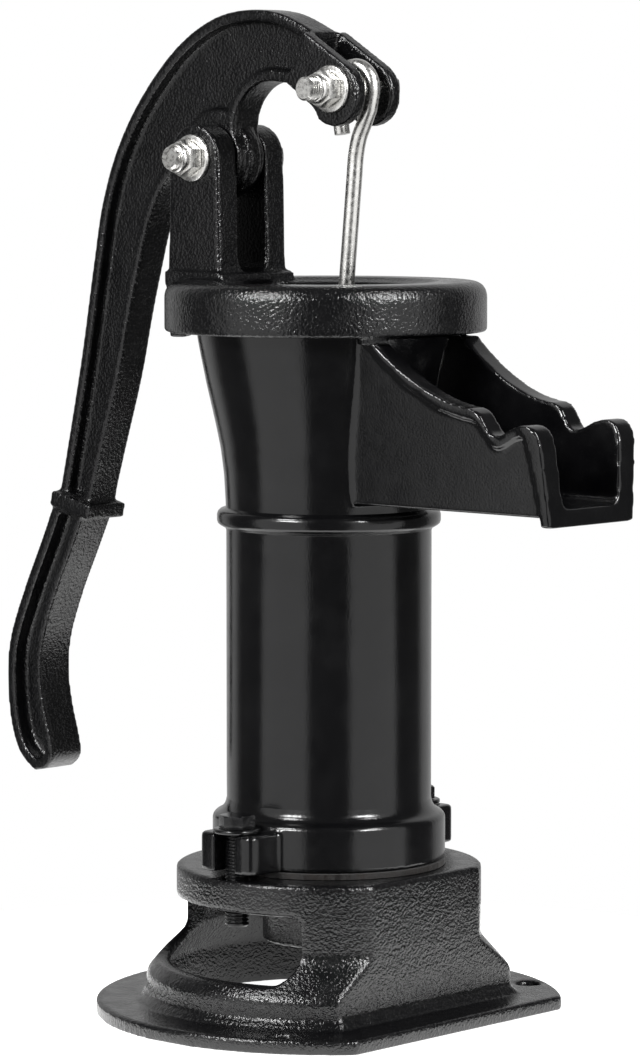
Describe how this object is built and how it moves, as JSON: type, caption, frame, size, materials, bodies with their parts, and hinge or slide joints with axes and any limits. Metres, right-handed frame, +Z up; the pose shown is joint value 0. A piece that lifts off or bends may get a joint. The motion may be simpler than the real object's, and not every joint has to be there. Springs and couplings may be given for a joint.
{
  "type": "hand well pump",
  "caption": "Cast-iron pitcher pump: a flanged stand, a barrel with an open spout, and a gooseneck lever that lifts a plunger rod through the open cap.",
  "frame": {"origin": "centre of the whole pump's footprint, on the surface that it stands on; the barrel's axis is 27.55 mm in front of it along +X", "axes": "+Z up along the barrel, +X towards the spout, +Y to the left seen from behind the lever; the pump is the same on both sides of Y = 0 but for its bolts and the cap's set screw"},
  "size_m": [0.3959, 0.239, 0.5111],
  "materials": {
    "rough_casting": "gloss black enamel over a rough sand casting",
    "gloss_enamel": "smooth gloss black enamel",
    "zinc_plate": "bright zinc plate",
    "black_steel": "gloss black enamel over steel",
    "brass": "machined",
    "leather": "oiled"
  },
  "bodies": {
    "pump": {"stand": "rough_casting", "foot_valve_gasket": "leather", "barrel": "gloss_enamel", "cap": "rough_casting", "cap_set_screw": "zinc_plate", "flange_bolt_near": "black_steel", "flange_bolt_far": "black_steel", "flange_washer_near": "black_steel", "flange_washer_far": "black_steel", "fulcrum_bolt": "zinc_plate", "fulcrum_washer_near": "zinc_plate", "fulcrum_washer_far": "zinc_plate", "fulcrum_lock_nut": "zinc_plate"},
    "lever": {"lever": "rough_casting", "front_bolt": "zinc_plate", "front_washer_near": "zinc_plate", "front_washer_far": "zinc_plate", "front_lock_nut": "zinc_plate"},
    "rod": {"piston_rod": "zinc_plate"},
    "plunger": {"plunger_cage": "rough_casting", "plunger_pin": "zinc_plate", "plunger_cup_leather": "leather", "plunger_follower": "rough_casting"},
    "plunger_poppet": {"plunger_valve": "brass"},
    "foot_valve": {"foot_valve_flap": "leather", "foot_valve_weight": "rough_casting", "foot_valve_screw": "brass", "foot_valve_washer": "brass", "foot_valve_nut": "brass"}
  },
  "joints": [
    {"name": "lever_swing", "type": "hinge", "parent": "pump", "child": "lever", "pos_m": [-0.04355, 0, 0.4357], "axis": [0, 1, 0], "range_deg": [0, 55]},
    {"name": "rod_swing", "type": "hinge", "parent": "lever", "child": "rod", "pos_m": [0.04455, 0, 0.4706], "axis": [0, 1, 0], "range_deg": [-58, 1]},
    {"name": "plunger_stroke", "type": "slide", "parent": "pump", "child": "plunger", "axis": [0, 0, 1], "range_m": [-0.088, 0]},
    {"name": "plunger_valve_lift", "type": "slide", "parent": "plunger", "child": "plunger_poppet", "axis": [0, 0, 1], "range_m": [0, 0.0055]},
    {"name": "foot_valve_hinge", "type": "hinge", "parent": "pump", "child": "foot_valve", "pos_m": [-0.00445, 0, 0.0782], "axis": [0, -1, 0], "range_deg": [0, 12]}
  ],
  "couplings": [
    {"joint": "rod_swing", "follows": "lever_swing", "ratio": -1.0425},
    {"joint": "plunger_stroke", "follows": "lever_swing", "m_per_rad": -0.0912}
  ]
}
